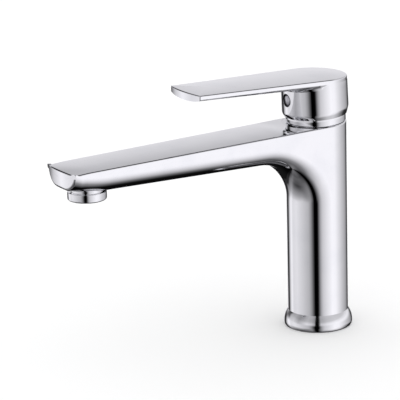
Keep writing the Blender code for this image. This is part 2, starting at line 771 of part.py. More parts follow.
def cap_blank(pivot):
    """Outside of the cap: a narrow lip, a chamfer that deepens to the rear, and the upright side."""
    low_front, low_rear = CAP_LIP_HEIGHT, CAP_LIP_HEIGHT + 0.6 * MM
    side_front, side_rear = CAP_LIP_HEIGHT + CAP_CHAMFER_FRONT, CAP_LIP_HEIGHT + CAP_CHAMFER_REAR
    below_top, above_top = 34 * MM, 42 * MM
    rings = [
        cap_skirt_ring(CAP_LIP_R + CAP_LIP_LAND, low_front, low_rear),
        cap_skirt_ring(CAP_R_LOW, side_front, side_rear),
        cap_skirt_ring(CAP_R_TOP, below_top, below_top),
        cap_skirt_ring(CAP_R_TOP, above_top, above_top),
    ]
    return loft("handle", rings, pivot)


def handle(pivot):
    """Cap and lever in one casting, hollow under the cap, with a square socket for the stem."""
    cap = cap_blank(pivot)
    blade, slab = lever_blade(pivot)
    cut(fuse(cap, blade), slab, cap_cavity(pivot))
    low, high = (0, 0, above_pivot(16 * MM)), (0, 0, above_pivot(26 * MM))
    fuse(cap, rod("socket_boss", 8.5 * MM, low, high, pivot, True))
    half = STEM_SIDE / 2 + GAP
    low, high = above_pivot(12 * MM), above_pivot(STEM_TOP + 0.5 * MM)
    cut(cap, box("socket_cutter", (-half, -half, low), (half, half, high), pivot, True))
    height = above_pivot(PLUG_HEIGHT)
    front, middle, rear = (0, -30 * MM, height), (0, -12 * MM, height), (0, -2 * MM, height)
    cut(cap, rod("plug_hole_cutter", PLUG_HOLE_R, front, middle, pivot, True))
    cut(cap, rod("screw_hole_cutter", SCREW_R + GAP, front, rear, pivot, True, FINE_STEPS))
    return finish(cap, "chrome")


def cap_cavity(pivot):
    """Room for the collar's dome: a sphere about the pivot, open downwards."""
    mouth = math.acos(CAP_LIP_R / CAP_CAVITY_R)
    profile = arc((0, 0), CAP_CAVITY_R, math.pi / 2, mouth, 9)
    profile[0] = (0, CAP_CAVITY_R)
    profile += [(CAP_LIP_R, 0), (0, 0)]
    return turned("cap_cavity_cutter", profile, pivot, cutter=True, closed=False)


def set_screw(pivot):
    """Grub screw that clamps the handle to the stem, with its hexagon socket to the front."""
    length, recess = 8 * MM, 1.5 * MM
    seat = new_empty("screw_seat", (0, -STEM_SIDE / 2 - 0.4 * MM, above_pivot(PLUG_HEIGHT)))
    seat.rotation_euler = (math.pi / 2, 0, 0)
    seat.parent = pivot
    screw = rod("set_screw", SCREW_R, (0, 0, 0), (0, 0, length), seat, segments=FINE_STEPS)
    socket = prism("hex_recess_cutter", 2.4 * MM, length - recess, length + 3 * MM, seat)
    return finish(cut(screw, socket), "steel")


def index_plug(pivot):
    """Domed plug, a little below the cap's surface, with its axis along -Y."""
    seat = new_empty("plug_seat", (0, -23.4 * MM, above_pivot(PLUG_HEIGHT)))
    seat.rotation_euler = (math.pi / 2, 0, 0)
    seat.parent = pivot
    radius, crown, depth, steps = PLUG_HOLE_R - GAP, 1.2 * MM, 3.2 * MM, 5
    profile = [(radius * i / steps, crown * (1 - (i / steps) ** 2)) for i in range(steps + 1)]
    profile += [(radius, -depth), (0, -depth)]
    return finish(turned("index_plug", profile, seat, closed=False, steps=SMALL_STEPS), "plug_chrome")


# Aerator (about a vertical axis under the spout's tip) ------------------------------------------------
def aerator():
    seat = new_empty("aerator_axis", (0, AERATOR_Y, AERATOR_BOTTOM))
    aerator_housing(seat)
    aerator_insert(seat)
    inner_r, above_insert = AERATOR_WALL_R - GAP, INSERT_TOP + GAP
    regulator = ring_profile(5 * MM, 1.6 * MM, above_insert + 2.4 * MM, above_insert, 0.4 * MM)
    finish(turned("flow_regulator", regulator, seat, steps=SMALL_STEPS), "seal")
    screen = ring_profile(inner_r, 5.6 * MM, above_insert + 1 * MM, above_insert)
    finish(turned("aerator_screen", screen, seat), "steel")
    bore_top = AERATOR_BORE_TOP - AERATOR_BOTTOM - GAP
    washer = ring_profile(AERATOR_THREAD_R - 0.4 * MM, 9 * MM, bore_top, AERATOR_THREAD_TOP + GAP)
    finish(turned("aerator_washer", washer, seat), "rubber")


def aerator_housing(seat):
    """Flange that shows below the spout, and above it the threaded sleeve."""
    shoulder = spout_bottom(AERATOR_Y + AERATOR_R) - AERATOR_BOTTOM - GAP
    chamfer = 0.8 * MM
    profile = [
        (AERATOR_THREAD_R - GAP, AERATOR_THREAD_TOP),
        (AERATOR_THREAD_R - GAP, shoulder),
        (AERATOR_R, shoulder),
        (AERATOR_R, chamfer),
        (AERATOR_R - chamfer, 0),
        (AERATOR_MOUTH_R, 0),
        (AERATOR_MOUTH_R, AERATOR_LEDGE),
        (AERATOR_WALL_R, AERATOR_LEDGE),
        (AERATOR_WALL_R, AERATOR_THREAD_TOP),
    ]
    finish(turned("aerator_housing", profile, seat), "chrome")


def aerator_insert(seat):
    """Plastic plate with a ring of jets."""
    profile = disc_profile(AERATOR_WALL_R - GAP, INSERT_TOP, AERATOR_LEDGE + GAP, 0.4 * MM)
    insert = turned("aerator_insert", profile, seat, closed=False)
    jets, jet_ring_r, jet_r = 8, 6.6 * MM, 1.5 * MM
    for i in range(jets):
        turn = math.tau * i / jets
        x, y = jet_ring_r * math.cos(turn), jet_ring_r * math.sin(turn)
        jet = rod(f"jet_cutter_{i + 1}", jet_r, (x, y, 0), (x, y, INSERT_TOP + 2 * MM), seat, True, 12)
        cut(insert, jet)
    finish(insert, "insert_plastic")


# Assembly ---------------------------------------------------------------------------------------------
def build():
    clear_scene()
    new_collection(COLLECTION)
    new_collection(CUTTERS)
    rim = (0, 0, RIM_HEIGHT)
    axis = new_empty("cartridge_axis", rim, LEAN)
    rotor = new_empty("temperature_axis", rim, LEAN)
    slider = new_empty("disc_slide_axis", rim, LEAN)
    along = Vector((0, -math.sin(LEAN), math.cos(LEAN)))
    pivot = new_empty("lever_pivot", Vector(rim) + along * PIVOT_HEIGHT, LEAN)

    body_casting(axis)
    base_gasket()
    collar_ring(axis)
    cartridge_nut(axis)
    cartridge_housing(axis)
    housing_o_ring(axis)
    cartridge_base(axis)
    port_seals(axis)
    fixed_ceramic_disc(axis)
    stem_carrier(rotor)
    pivot_pin(rotor)
    hot_limit_ring(rotor)
    disc_carrier(slider)
    moving_ceramic_disc(slider)
    stem(pivot)
    handle(pivot)
    set_screw(pivot)
    index_plug(pivot)
    aerator()


build()
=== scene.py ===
import json
import math

import bmesh
import bpy
from mathutils import Matrix, Vector


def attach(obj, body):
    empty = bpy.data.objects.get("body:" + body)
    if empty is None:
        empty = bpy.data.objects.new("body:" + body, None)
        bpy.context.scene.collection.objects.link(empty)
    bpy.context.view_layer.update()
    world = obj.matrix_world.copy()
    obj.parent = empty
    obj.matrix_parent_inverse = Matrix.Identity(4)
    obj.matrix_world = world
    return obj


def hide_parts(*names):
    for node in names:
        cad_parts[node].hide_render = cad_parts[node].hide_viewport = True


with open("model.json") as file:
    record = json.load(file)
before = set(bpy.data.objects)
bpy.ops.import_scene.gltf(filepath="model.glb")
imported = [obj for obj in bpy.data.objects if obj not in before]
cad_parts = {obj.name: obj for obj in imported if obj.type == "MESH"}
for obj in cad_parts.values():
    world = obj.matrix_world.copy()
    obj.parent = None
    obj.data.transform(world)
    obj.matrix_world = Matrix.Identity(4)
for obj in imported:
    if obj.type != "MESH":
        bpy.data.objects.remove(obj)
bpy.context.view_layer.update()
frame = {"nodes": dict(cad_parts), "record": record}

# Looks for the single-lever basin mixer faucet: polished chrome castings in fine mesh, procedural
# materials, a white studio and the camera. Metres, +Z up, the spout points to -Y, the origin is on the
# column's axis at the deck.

MM = 0.001
MERGE = 0.002 * MM                # points this close are one point
SHARP = math.radians(32)          # edges that turn more than this stay crisp

# Body, as in the CAD
COLUMN_R = 22.5 * MM
FOOT_R = 25.6 * MM
FOOT_TOP = 12.4 * MM
FOOT_WIDEST = 3.4 * MM
FOOT_FACE_R = 24.0 * MM
GROOVE_R = 23.0 * MM
GROOVE_INNER_R = 20.6 * MM
GROOVE_DEPTH = 2.5 * MM
HOSE_SPACE_R = 18.5 * MM
HOSE_SPACE_TOP = 100 * MM
RIM_HEIGHT = 156.4 * MM
SPOUT_SLOPE = math.radians(1.14)
SPOUT_RISE = 0.1 * MM             # spout's top above the rim's plane on the axis
SPOUT_TIP_Y = -211.6 * MM
SPOUT_TIP_BOW = 1.7 * MM
SPOUT_TIP_HALF = 19.9 * MM
SPOUT_TIP_CORNER_R = 1.4 * MM
SPOUT_TIP_LOWER_R = 2.0 * MM
SPOUT_CORNER_R = 14.0 * MM
SPOUT_BOTTOM = 132.7 * MM
SPOUT_BOTTOM_RISE = 0.0145
UPTURN_START = 184 * MM
UPTURN_R = 105 * MM
NECK_R = 34 * MM
NECK_CENTRE_Y = -COLUMN_R - NECK_R
NECK_CENTRE_Z = SPOUT_BOTTOM - NECK_R
SPOTFACE_R = 25.4 * MM
NUT_BORE_R = 19.2 * MM
NUT_BORE_FLOOR = -7.0 * MM
CHAMBER_R = 17.7 * MM
CHAMBER_FLOOR = -28.2 * MM
INLET_X = 8 * MM
INLET_Y = 4.5 * MM
INLET_R = 4.5 * MM
STUD_HOLE_R = 3.6 * MM
STUD_HOLE_Y = -9 * MM
STUD_HOLE_TOP = 116 * MM

# Lever and collar, as in the CAD
LEAN = math.radians(2.3)
PIVOT_HEIGHT = 0.7 * MM
COLLAR_R = 22.2 * MM
COLLAR_WALL = 1.8 * MM
DOME_R = 22.45 * MM
DOME_HOLE_R = 17.5 * MM
CAP_R_LOW = 24.7 * MM
CAP_R_TOP = 24.5 * MM
CAP_LIP_R = 22.65 * MM
CAP_LIP_LAND = 0.65 * MM
CAP_LIP_HEIGHT = 5.7 * MM
CAP_LIP_RISE = 0.6 * MM
CAP_CHAMFER_FRONT = 2.4 * MM
CAP_CHAMFER_REAR = 6.2 * MM
CAP_CAVITY_R = 23.1 * MM
CAP_WALL_TOP = 34 * MM            # above the rim, as the lip and the lever's top are
LEVER_TOP = 35.3 * MM
LEVER_RISE = math.radians(1.41)
LEVER_LENGTH = 110.2 * MM
LEVER_TIP_HALF = 20.6 * MM
LEVER_TIP_CORNER_R = 1.6 * MM
LEVER_EDGE = 3.0 * MM
LEVER_TIP_DEPTH = 6.0 * MM
LEVER_ROOT_DEPTH = 8.0 * MM
STEM_SIDE = 8.0 * MM
STEM_TOP = 30 * MM
PLUG_HEIGHT = 19.7 * MM
PLUG_HOLE_R = 5.0 * MM
PLUG_SEAT_Y = -23.4 * MM
PLUG_R = 4.7 * MM
PLUG_FACE_R = 3.9 * MM
PLUG_CROWN = 1.1 * MM
PLUG_SHOULDER_R = 1.3 * MM
PLUG_RING_DEPTH = 1.9 * MM
PLUG_DEPTH = 3.2 * MM
BOSS_R = 8.5 * MM
BOSS_LOW = 15.3 * MM
BOSS_HIGH = 25.3 * MM
SOCKET_LOW = 11 * MM
SCREW_HOLE_R = 2.8 * MM
GAP = 0.3 * MM

# Aerator, as in the CAD
AERATOR_Y = -192.0 * MM
AERATOR_BOTTOM = 128.1 * MM
AERATOR_R = 14.0 * MM
AERATOR_THREAD_R = 12.0 * MM
AERATOR_BORE_TOP = 144 * MM
AERATOR_THREAD_TOP = 14.5 * MM
AERATOR_WALL_R = 10.2 * MM
AERATOR_MOUTH_R = 9.2 * MM
AERATOR_LEDGE = 1.2 * MM

# Polished edges, which only the fine mesh has
EDGE_R = 1.2 * MM                 # spout's upper edges
LEVER_EDGE_R = 0.9 * MM
CROWN = math.radians(3.6)         # the tops' slope at their edges, from a shallow crown
CROWN_LIFT = 0.85                 # share of the crown that stands above the CAD's flat top
LEVER_TIP_BOW = 2.0 * MM
LEVER_FILLET_R = 2.4 * MM         # where the lever's underside runs into the cap
TIP_ROLL = 0.7 * MM               # the spout's top drops by this much at its very end
TIP_ROLL_START = 196 * MM
TIP_ROLL_LENGTH = 16 * MM
HOLD = 0.35 * MM                  # a row this close beside an edge keeps the wide faces truly flat

SIDE_POINTS = 84                  # points up the side of half a body section
FILLET_STEPS = 6
BELLY_STEPS = 7                   # rows along the lever's underside
CORNER_STEPS = 7                  # rows round the fillet beside the cap
ROUND_STEPS = 120
TOP_SHARES = (0.02, 0.08, 0.2, 0.36, 0.56, 0.78, 1.0)     # rows of a crowned top, from its edge inwards
END_SHARES = (0.97, 0.88, 0.74, 0.58, 0.4, 0.2, 0.0)      # rings of the spout's end face, inwards
SPOUT_STATIONS = (
    58, 60, 64, 70, 80, 95, 110, 125, 140, 155, 168, 178, 184, 187, 190, 193, 196, 199, 202, 205,
)                                 # mm in front of the axis

# Studio and camera
LIGHT_STRENGTH = 1.14
FLAG_LEVEL = 18
FLAG_SOFTNESS = 7                 # degrees
FLAGS = ((50, 59, 11), (82, 66, 12), (115, 63, 10), (-163, 33, 15))     # azimuth, elevation, radius
FLOOR_SIZE = 12.0
FLOOR_STEPS = 24
CAMERA_AZIMUTH = math.radians(59.54)
CAMERA_ELEVATION = math.radians(15.6)
CAMERA_ROLL = math.radians(-1.44)
CAMERA_DISTANCE = 1.8335
CAMERA_TARGET = (-0.0202, -0.0885, 0.1056)
CAMERA_LENS = 226.0               # mm


# Small helpers ----------------------------------------------------------------------------------------
def ease(t):
    """Runs from 0 to 1 and is level at both ends."""
    return t * t * (3 - 2 * t)


def lerp(a, b, t):
    return a + (b - a) * t


def spread(points, count, hold=HOLD):
    """Points spread evenly along a polyline, the last gap only as long as hold."""
    lengths = [0.0]
    for a, b in zip(points, points[1:]):
        lengths.append(lengths[-1] + math.dist(a, b))
    if lengths[-1] < MERGE:
        return [points[0]] * count
    wanted = [(lengths[-1] - hold) * i / (count - 2) for i in range(count - 1)] + [lengths[-1]]
    result = []
    index = 0
    for length in wanted:
        while index < len(points) - 2 and lengths[index + 1] < length:
            index += 1
        t = (length - lengths[index]) / (lengths[index + 1] - lengths[index])
        result.append(tuple(lerp(a, b, t) for a, b in zip(points[index], points[index + 1])))
    return result


def skin(bm, columns, closed=False):
    """Faces between neighbouring columns of equally many points; points may coincide."""
    loops = [[bm.verts.new(point) for point in column] for column in columns]
    if closed:
        loops.append(loops[0])
    for first, second in zip(loops, loops[1:]):
        for i in range(len(first) - 1):
            bm.faces.new((first[i], first[i + 1], second[i + 1], second[i]))


def new_solid(name, bm, mirrored=False, matrix=None):
    """A closed object from a bmesh whose seams still have to be merged."""
    if mirrored:
        everything = bm.verts[:] + bm.edges[:] + bm.faces[:]
        copy = bmesh.ops.duplicate(bm, geom=everything)
        for item in copy["geom"]:
            if isinstance(item, bmesh.types.BMVert):
                item.co.x = -item.co.x
    bmesh.ops.remove_doubles(bm, verts=bm.verts, dist=MERGE)
    bmesh.ops.dissolve_degenerate(bm, dist=MERGE / 2, edges=bm.edges)
    bmesh.ops.recalc_face_normals(bm, faces=bm.faces)
    if matrix:
        bmesh.ops.transform(bm, matrix=matrix, verts=bm.verts)
    mesh = bpy.data.meshes.new(name)
    bm.to_mesh(mesh)
    bm.free()
    obj = bpy.data.objects.new(name, mesh)
    bpy.context.scene.collection.objects.link(obj)
    return obj


def turned(name, profile, matrix=None, closed=True, steps=ROUND_STEPS):
    """A shape turned about local Z: a ring, or from an open profile a solid that meets the axis."""
    if closed:
        profile = profile + profile[:1]
    columns = []
    for i in range(steps):
        turn = math.tau * i / steps
        columns.append([(r * math.cos(turn), r * math.sin(turn), z) for r, z in profile])
    bm = bmesh.new()
    skin(bm, columns, closed=True)
    return new_solid(name, bm, matrix=matrix)


def pin(name, radius, low, high, matrix=None, steps=48):
    """A plain round bar along local Z."""
    profile = [(0, high), (radius, high), (radius, low), (0, low)]
    return turned(name, profile, matrix, closed=False, steps=steps)


def block(name, low, high, matrix):
    bm = bmesh.new()
    low, high = Vector(low), Vector(high)
    place = Matrix.Translation((low + high) / 2) @ Matrix.Diagonal((*(high - low), 1))
    bmesh.ops.create_cube(bm, size=1, matrix=matrix @ place)
    return new_solid(name, bm)


def combine(obj, others, operation):
    """Cuts or joins solids for good, and removes the others."""
    for other in others:
        modifier = obj.modifiers.new(other.name, "BOOLEAN")
        modifier.operation = operation
        modifier.solver = "EXACT"
        modifier.object = other
    evaluated = obj.evaluated_get(bpy.context.evaluated_depsgraph_get())
    mesh = bpy.data.meshes.new_from_object(evaluated)
    mesh.name = obj.name
    obj.modifiers.clear()
    obj.data = mesh
    for other in others:
        bpy.data.objects.remove(other, do_unlink=True)
    return obj


def arc(centre, radius, start, end, steps):
    """Points on an arc; angles in radians."""
    turns = [lerp(start, end, i / steps) for i in range(steps + 1)]
    return [(centre[0] + radius * math.cos(a), centre[1] + radius * math.sin(a)) for a in turns]


def soften(profile, radius, steps=4):
    """Rounds every corner of a closed (radius, height) profile a little."""
    result = []
    count = len(profile)
    for i in range(count):
        corner = Vector(profile[i])
        before = Vector(profile[i - 1]) - corner
        after = Vector(profile[(i + 1) % count]) - corner
        reach = min(radius, before.length * 0.45, after.length * 0.45)
        start, end = corner + before.normalized() * reach, corner + after.normalized() * reach
        for j in range(steps + 1):
            t = j / steps
            point = start * (1 - t) ** 2 + corner * 2 * t * (1 - t) + end * t * t
            result.append((point.x, point.y))
    return result


# Places -----------------------------------------------------------------------------------------------
RIM = Matrix.Translation((0, 0, RIM_HEIGHT)) @ Matrix.Rotation(LEAN, 4, "X")
PIVOT = RIM @ Matrix.Translation((0, 0, PIVOT_HEIGHT))
LEVER_TILT = Matrix.Rotation(-LEVER_RISE - LEAN, 4, "X")
LEVER_PLANE = PIVOT @ Matrix.Translation((0, 0, LEVER_TOP - PIVOT_HEIGHT)) @ LEVER_TILT
FORWARD = Matrix.Rotation(math.pi / 2, 4, "X")            # turns local Z towards the spout


# Body casting -----------------------------------------------------------------------------------------
def spout_half_width(y):
    return COLUMN_R + (COLUMN_R - SPOUT_TIP_HALF) * min(y, 0) / -SPOUT_TIP_Y


def spout_bottom(y):
    """Height of the underside on the centre line, in front of the neck."""
    height = SPOUT_BOTTOM + SPOUT_BOTTOM_RISE * (NECK_CENTRE_Y - y)
    past = -y - UPTURN_START
    if past > 0:
        height += UPTURN_R - math.sqrt(UPTURN_R**2 - past**2)
    return height


def top_height(y):
    """The spout's falling top in front of the axis, the rim's plane behind it, and the roll at the tip."""
    height = max(RIM_HEIGHT + SPOUT_RISE + y * math.tan(SPOUT_SLOPE), RIM_HEIGHT + y * math.tan(LEAN))
    past = max(0, -y - TIP_ROLL_START) / TIP_ROLL_LENGTH
    return height - TIP_ROLL * past * past


def crown_angle(y):
    """The spout's top is crowned, and the machined seat round the collar isn't."""
    start, full = 28 * MM, 44 * MM
    return CROWN * ease(min(1, max(0, (-y - start) / (full - start))))


def crown_drop(y):
    return math.tan(crown_angle(y)) * spout_half_width(y) / 2


def edge_height(y):
    """Where the side ends and the fillet of the upper edge starts."""
    return top_height(y) - (1 - CROWN_LIFT) * crown_drop(y) - EDGE_R * math.cos(crown_angle(y))


def lower_corner(half_width, corner, steps=160):
    """(x, height above the lowest line) from the centre line to the top of the corner."""
    rounding = arc((half_width - corner, corner), corner, -math.pi / 2, 0, steps)
    flat = half_width - corner
    return [(flat * i / 6, 0.0) for i in range(6) if flat > MERGE] + rounding


def upper_edge(x, y, z, normal):
    """Fillet and top face of half a section, from the end of its side to the centre line."""
    tilt = math.pi / 2 - crown_angle(y)
    points = []
    for i in range(1, FILLET_STEPS + 1):
        turn = tilt * i / FILLET_STEPS
        inward = EDGE_R * (1 - math.cos(turn))
        points.append((x - normal[0] * inward, y - normal[1] * inward, z + EDGE_R * math.sin(turn)))
    last_x, last_y, _ = points[-1]
    drop = crown_drop(y)
    for share in TOP_SHARES:
        height = top_height(last_y) + drop * (CROWN_LIFT - (1 - share) ** 2)
        points.append((last_x * (1 - share), last_y, height))
    return points


def column_half(radius, z):
    """Half of a level ring, from the front centre line to the rear one."""
    steps = 720
    turns = [math.pi * i / steps for i in range(steps + 1)]
    return spread([(radius * math.sin(a), -radius * math.cos(a), z) for a in turns], SIDE_POINTS)


def neck_half(angle, end_y):
    """Half section by a plane through the neck's centre line, up to end_y on the upper edge or the rear."""
    corner = lerp(COLUMN_R, SPOUT_CORNER_R, ease(angle / (math.pi / 2)))
    ahead, up = math.cos(angle), math.sin(angle)
    corner_y = NECK_CENTRE_Y + (NECK_R + corner) * ahead
    points = []
    for x, v in lower_corner(spout_half_width(corner_y), corner):
        points.append((x, NECK_CENTRE_Y + (NECK_R + v) * ahead, NECK_CENTRE_Z + (NECK_R + v) * up))
    start = NECK_R + corner
    if end_y > 0:
        wall_end = -NECK_CENTRE_Y / ahead
    else:
        wall_end = (edge_height(end_y) - NECK_CENTRE_Z) / up
    steps = 240
    for i in range(1, steps + 1):
        rho = lerp(start, wall_end, i / steps)
        y = NECK_CENTRE_Y + rho * ahead
        points.append((spout_half_width(y), y, NECK_CENTRE_Z + rho * up))
    if end_y > 0:
        last_turn = math.asin(min(1, end_y / COLUMN_R))
        for i in range(1, steps + 1):
            turn = last_turn * i / steps
            y = COLUMN_R * math.sin(turn)
            x = COLUMN_R * math.cos(turn) if y < COLUMN_R else 0.0
            points.append((x, y, NECK_CENTRE_Z + (y - NECK_CENTRE_Y) * math.tan(angle)))
    return spread(points, SIDE_POINTS)


def spout_half(y):
    half_width, low = spout_half_width(y), spout_bottom(y)
    points = [(x, y, low + v) for x, v in lower_corner(half_width, SPOUT_CORNER_R)]
    points.append((half_width, y, edge_height(y)))
    return spread(points, SIDE_POINTS)


def foot_rings():
    """From the ceiling of the hose space down inside, across the lower face and up the flare."""
    hollow = [
        (0.0, HOSE_SPACE_TOP),
        (HOSE_SPACE_R, HOSE_SPACE_TOP),
        (HOSE_SPACE_R, 0.0),
        (GROOVE_INNER_R, 0.0),
        (GROOVE_INNER_R, GROOVE_DEPTH),
        (GROOVE_R, GROOVE_DEPTH),
        (GROOVE_R, 0.0),
    ]
    steps = 8
    bulge = []
    for i in range(steps + 1):
        t = i / steps
        round_in = 1 - math.sqrt(max(0, 1 - (1 - t) ** 2))
        bulge.append((FOOT_R - (FOOT_R - FOOT_FACE_R) * round_in, FOOT_WIDEST * t))
    flare = []
    steps = 14
    for i in range(1, steps + 1):
        t = i / steps
        flare.append((COLUMN_R + (FOOT_R - COLUMN_R) * (1 - t * t), lerp(FOOT_WIDEST, FOOT_TOP, t)))
    heights = (FOOT_TOP + 0.4 * MM, FOOT_TOP + 2 * MM, NECK_CENTRE_Z - 2 * MM)
    column = [(COLUMN_R, height) for height in heights]
    return [column_half(radius, z) for radius, z in hollow + bulge + flare + column]


def rounded_end(section, end_y, radius_at, steps=7):
    """Rings that round a half section into its end face, and then fill the face.

    section is a list of (x, z) at the start of the rounding, end_y(x) gives the end face, and
    radius_at(normal) the rounding for a surface whose section normal is (nx, nz).
    """
    normals = []
    for i, point in enumerate(section):
        before, after = section[max(0, i - 1)], section[min(len(section) - 1, i + 1)]
        along = Vector((after[0] - before[0], after[1] - before[1])).normalized()
        normals.append(Vector((along.y, -along.x)))
    normals[0], normals[-1] = Vector((0, -1)), Vector((0, 1))
    rings = []
    for step in range(steps + 1):
        turn = math.pi / 2 * step / steps
        ring = []
        for (x, z), normal in zip(section, normals):
            radius = radius_at(normal)
            inset = radius * (1 - math.cos(turn))
            new_x, new_z = max(0.0, x - normal.x * inset), z - normal.y * inset
            ring.append((new_x, end_y(new_x) + radius * (1 - math.sin(turn)), new_z))
        for i in range(SIDE_POINTS, len(ring)):
            ring[i] = (min(ring[i][0], ring[i - 1][0]), ring[i][1], max(ring[i][2], ring[i - 1][2]))
        rings.append(ring)
    last = rings[-1]
    middle = (last[0][2] + last[-1][2]) / 2
    for share in END_SHARES:
        ring = []
        for x, _, z in last:
            ring.append((x * share, end_y(x * share), lerp(middle, z, share)))
        rings.append(ring)
    return rings


def spout_end_y(x):
    """Plan of the spout's end face: slightly bowed."""
    return SPOUT_TIP_Y - SPOUT_TIP_BOW * (1 - (x / SPOUT_TIP_HALF) ** 2)


def spout_tip_rings():
    start_y = SPOUT_TIP_Y + SPOUT_TIP_CORNER_R
    side = spout_half(start_y)
    whole = side + upper_edge(*side[-1], (1, 0))
    section = [(x, z) for x, _, z in whole]
    low, high = section[0][1], section[-1][1]

    def radius_at(normal):
        end_r = SPOUT_TIP_LOWER_R if normal.y < 0 else EDGE_R
        return SPOUT_TIP_CORNER_R * normal.x**2 + end_r * normal.y**2

    rings = []
    for ring in rounded_end(section, spout_end_y, radius_at):
        moved = []
        for x, y, z in ring:
            share = (z - low) / (high - low)
            shift = lerp(spout_bottom(y) - spout_bottom(start_y), top_height(y) - top_height(start_y), share)
            moved.append((x, y, z + shift))
        rings.append(moved)
    return rings


def body_solid():
    """The casting's outer skin, hollow below, before the upper and front bores are cut."""
    closed_rings = foot_rings()
    rear_edge = edge_height(COLUMN_R)
    rear_angle = math.atan2(rear_edge - NECK_CENTRE_Z, COLUMN_R - NECK_CENTRE_Y)
    low_steps = 12
    closed_rings += [neck_half(rear_angle * i / low_steps, COLUMN_R) for i in range(low_steps)]
    rear_steps, front_steps = 26, 24
    ends = [COLUMN_R * math.cos(math.pi / 2 * i / rear_steps) for i in range(rear_steps + 1)]
    ends += [NECK_CENTRE_Y * i / front_steps for i in range(1, front_steps + 1)]
    open_rings = []
    for end_y in ends:
        angle = math.atan2(edge_height(end_y) - NECK_CENTRE_Z, end_y - NECK_CENTRE_Y)
        side = neck_half(angle, max(end_y, 0) if end_y > MERGE else min(end_y, 0))
        sideways = math.sqrt(max(0, 1 - (max(end_y, 0) / COLUMN_R) ** 2))
        normal = (sideways, max(end_y, 0) / COLUMN_R)
        open_rings.append((side, upper_edge(*side[-1], normal)))
    for station in SPOUT_STATIONS:
        side = spout_half(-station * MM)
        open_rings.append((side, upper_edge(*side[-1], (1, 0))))
    tip = spout_tip_rings()
    bm = bmesh.new()
    skin(bm, closed_rings + [side for side, _ in open_rings])
    skin(bm, [side[-1:] + top for side, top in open_rings])
    last_side, last_top = open_rings[-1]
    skin(bm, [last_side + last_top] + tip)
    return new_solid("body_shell", bm, mirrored=True)


def body_casting():
    body = body_solid()
    above = 60 * MM
    seat = [
        (0, above),
        (SPOTFACE_R, above),
        (SPOTFACE_R, 0),
        (NUT_BORE_R, 0),
        (NUT_BORE_R, NUT_BORE_FLOOR),
        (CHAMBER_R, NUT_BORE_FLOOR),
        (CHAMBER_R, CHAMBER_FLOOR),
        (0, CHAMBER_FLOOR),
    ]
    cutters = [turned("chamber_cutter", seat, RIM, closed=False)]
    start, inlet_top = HOSE_SPACE_TOP - 10 * MM, RIM_HEIGHT + CHAMBER_FLOOR + 3 * MM
    for x in (-INLET_X, INLET_X):
        cutters.append(pin("inlet_cutter", INLET_R, start, inlet_top, Matrix.Translation((x, INLET_Y, 0))))
    stud = Matrix.Translation((0, STUD_HOLE_Y, 0))
    cutters.append(pin("stud_cutter", STUD_HOLE_R, start, STUD_HOLE_TOP, stud))
    bore = Matrix.Translation((0, AERATOR_Y, 0))
    bore_r, bore_low = AERATOR_THREAD_R + GAP, 120 * MM
    cutters.append(pin("bore_cutter", bore_r, bore_low, AERATOR_BORE_TOP, bore, ROUND_STEPS))
    return combine(body, cutters, "DIFFERENCE")


# Collar, aerator and plug -----------------------------------------------------------------------------
def collar_ring():
    centre, inner_r = (0, PIVOT_HEIGHT), DOME_R - COLLAR_WALL
    dome_start, dome_end = math.acos(DOME_HOLE_R / DOME_R), math.acos(COLLAR_R / DOME_R)
    inside_start, inside_end = math.asin(COLLAR_WALL / inner_r), math.acos(DOME_HOLE_R / inner_r)
    chamfer = 0.7 * MM
    profile = arc(centre, DOME_R, dome_start, dome_end, 24)
    profile += [(COLLAR_R, GAP + chamfer + HOLD), (COLLAR_R, GAP + chamfer)]
    profile += [(COLLAR_R - chamfer, GAP), (NUT_BORE_R, GAP)]
    profile += arc(centre, inner_r, inside_start, inside_end, 8)
    return turned("collar_trim", profile, RIM)


def aerator_housing():
    """Flange with softened edges, below the threaded sleeve."""
    shoulder = spout_bottom(AERATOR_Y + AERATOR_R) - AERATOR_BOTTOM - GAP
    chamfer = 0.8 * MM
    thread_r = AERATOR_THREAD_R - GAP
    profile = [
        (thread_r, AERATOR_THREAD_TOP),
        (thread_r, shoulder),
        (AERATOR_R, shoulder),
        (AERATOR_R, chamfer),
        (AERATOR_R - chamfer, 0),
        (AERATOR_MOUTH_R, 0),
        (AERATOR_MOUTH_R, AERATOR_LEDGE),
        (AERATOR_WALL_R, AERATOR_LEDGE),
        (AERATOR_WALL_R, AERATOR_THREAD_TOP),
    ]
    place = Matrix.Translation((0, AERATOR_Y, AERATOR_BOTTOM))
    return turned("aerator_flange", soften(profile, 0.35 * MM), place)


def index_plug():
    """Domed plug whose front is stepped in, which leaves a dark ring round it."""
    seat = Matrix.Translation((0, PLUG_SEAT_Y, PLUG_HEIGHT - PIVOT_HEIGHT)) @ FORWARD
    flat_r = PLUG_FACE_R - PLUG_SHOULDER_R
    steps = 14
    profile = []
    for i in range(steps + 1):
        t = i / steps
        profile.append((flat_r * t, PLUG_CROWN * (1 - 0.3 * t * t)))
    edge = profile[-1][1] - PLUG_SHOULDER_R
    profile += arc((flat_r, edge), PLUG_SHOULDER_R, math.pi / 2, 0, 8)[1:]
    profile += [(PLUG_FACE_R, -PLUG_RING_DEPTH), (PLUG_R, -PLUG_RING_DEPTH)]
    profile += [(PLUG_R, -PLUG_DEPTH), (0, -PLUG_DEPTH)]
    return turned("plug_button", profile, PIVOT @ seat, closed=False, steps=64)


# Handle: cap and lever --------------------------------------------------------------------------------
TANGENT = math.atan((CAP_R_TOP - LEVER_TIP_HALF) / LEVER_LENGTH)


def lever_half_width(ahead):
    """The sides are tangents of the cap's circle."""
    return (CAP_R_TOP - ahead * math.sin(TANGENT)) / math.cos(TANGENT)


